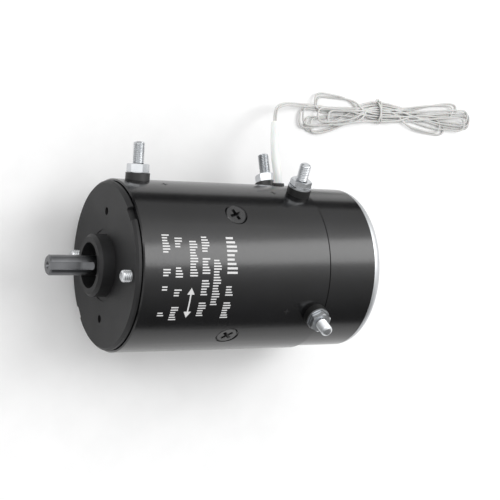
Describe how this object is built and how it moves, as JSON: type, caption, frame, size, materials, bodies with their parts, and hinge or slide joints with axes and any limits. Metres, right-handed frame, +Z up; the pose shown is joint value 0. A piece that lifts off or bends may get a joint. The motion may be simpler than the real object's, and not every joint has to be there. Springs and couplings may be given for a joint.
{
  "type": "electric motor",
  "caption": "Cylindrical brushed direct-current motor with a flat flanged spigot end, keyed shaft, radial threaded terminals and a tied sensor lead.",
  "frame": {"origin": "centre of the front mounting face, on the shaft's axis", "axes": "-X along the shaft, out of the front; +Z up as the motor lies on its side; +Y towards the front terminal"},
  "size_m": [0.386, 0.1931, 0.1224],
  "materials": {
    "black_enamel": "semi-gloss black enamel",
    "turned_steel": "turned steel, darkened by oil",
    "bright_zinc": "bright zinc plate",
    "bearing_steel": "ground bearing steel",
    "lamination_steel": "blued lamination steel",
    "spring_steel": "spring steel",
    "copper": "copper",
    "holder_brass": "stamped brass",
    "coil_tape": "varnished glass tape over copper",
    "black_phenolic": "moulded phenolic",
    "brown_laminate": "paper phenolic laminate",
    "carbon": "carbon-copper brush",
    "black_rubber": "black nitrile rubber",
    "gasket_fibre": "thin sealing ring",
    "white_pvc": "white PVC sleeve",
    "white_wire": "white wire insulation",
    "switch_case": "moulded case"
  },
  "bodies": {
    "housing": {"body_tube": "black_enamel", "drive_end_shield": "black_enamel", "rear_cover": "black_enamel", "pole_screws": "black_enamel", "cover_gasket": "gasket_fibre", "tie_bolts": "bright_zinc", "terminal_nuts": "bright_zinc", "terminal_washers": "bright_zinc", "terminal_stud_front": "bright_zinc", "terminal_stud_rear_1": "bright_zinc", "terminal_stud_rear_2": "bright_zinc", "terminal_stud_rear_3": "bright_zinc", "shaft_seal": "black_rubber", "lead_grommet": "black_rubber", "front_bearing_outer": "bearing_steel", "rear_bearing_outer": "bearing_steel", "preload_washer": "spring_steel", "brush_spring_1": "spring_steel", "brush_spring_2": "spring_steel", "brush_spring_3": "spring_steel", "brush_spring_4": "spring_steel", "pole_shoe_1": "lamination_steel", "pole_shoe_2": "lamination_steel", "pole_shoe_3": "lamination_steel", "pole_shoe_4": "lamination_steel", "field_coil_1": "coil_tape", "field_coil_2": "coil_tape", "field_coil_3": "coil_tape", "field_coil_4": "coil_tape", "brush_plate": "brown_laminate", "brush_holder_1": "holder_brass", "brush_holder_2": "holder_brass", "brush_holder_3": "holder_brass", "brush_holder_4": "holder_brass", "terminal_bush_front": "black_phenolic", "terminal_bush_rear_1": "black_phenolic", "terminal_bush_rear_2": "black_phenolic", "terminal_bush_rear_3": "black_phenolic", "thermal_switch": "switch_case", "lead_sleeve": "white_pvc", "lead_wire_a": "white_wire", "lead_wire_b": "white_wire", "lead_hank": "white_wire", "hank_tie": "white_wire"},
    "rotor": {"shaft": "turned_steel", "armature_core": "lamination_steel", "armature_winding": "copper", "commutator_bars": "copper", "commutator_hub": "brown_laminate", "front_bearing_inner": "bearing_steel", "rear_bearing_inner": "bearing_steel"},
    "front_cage": {"front_bearing_cage": "bearing_steel", "front_bearing_balls": "bearing_steel"},
    "rear_cage": {"rear_bearing_cage": "bearing_steel", "rear_bearing_balls": "bearing_steel"},
    "brush_slider_1": {"brush_1": "carbon"},
    "brush_slider_2": {"brush_2": "carbon"},
    "brush_slider_3": {"brush_3": "carbon"},
    "brush_slider_4": {"brush_4": "carbon"}
  },
  "joints": [
    {"name": "rotor_spin", "type": "hinge", "parent": "housing", "child": "rotor", "pos_m": [0, 0, 0], "axis": [1, 0, 0], "continuous": true},
    {"name": "front_cage_spin", "type": "hinge", "parent": "housing", "child": "front_cage", "pos_m": [0.012, 0, 0], "axis": [1, 0, 0], "continuous": true},
    {"name": "rear_cage_spin", "type": "hinge", "parent": "housing", "child": "rear_cage", "pos_m": [0.1765, 0, 0], "axis": [1, 0, 0], "continuous": true},
    {"name": "brush_1_lift", "type": "slide", "parent": "housing", "child": "brush_slider_1", "axis": [0, 0.5948, 0.8039], "range_m": [0, 0.005], "stiffness_N_per_m": 600, "springref_m": -0.02, "deforming": ["brush_spring_1"]},
    {"name": "brush_2_lift", "type": "slide", "parent": "housing", "child": "brush_slider_2", "axis": [0, -0.8039, 0.5948], "range_m": [0, 0.005], "stiffness_N_per_m": 600, "springref_m": -0.02, "deforming": ["brush_spring_2"]},
    {"name": "brush_3_lift", "type": "slide", "parent": "housing", "child": "brush_slider_3", "axis": [0, -0.5948, -0.8039], "range_m": [0, 0.005], "stiffness_N_per_m": 600, "springref_m": -0.02, "deforming": ["brush_spring_3"]},
    {"name": "brush_4_lift", "type": "slide", "parent": "housing", "child": "brush_slider_4", "axis": [0, 0.8039, -0.5948], "range_m": [0, 0.005], "stiffness_N_per_m": 600, "springref_m": -0.02, "deforming": ["brush_spring_4"]}
  ],
  "couplings": [
    {"joint": "front_cage_spin", "follows": "rotor_spin", "ratio": 0.383},
    {"joint": "rear_cage_spin", "follows": "rotor_spin", "ratio": 0.382}
  ]
}
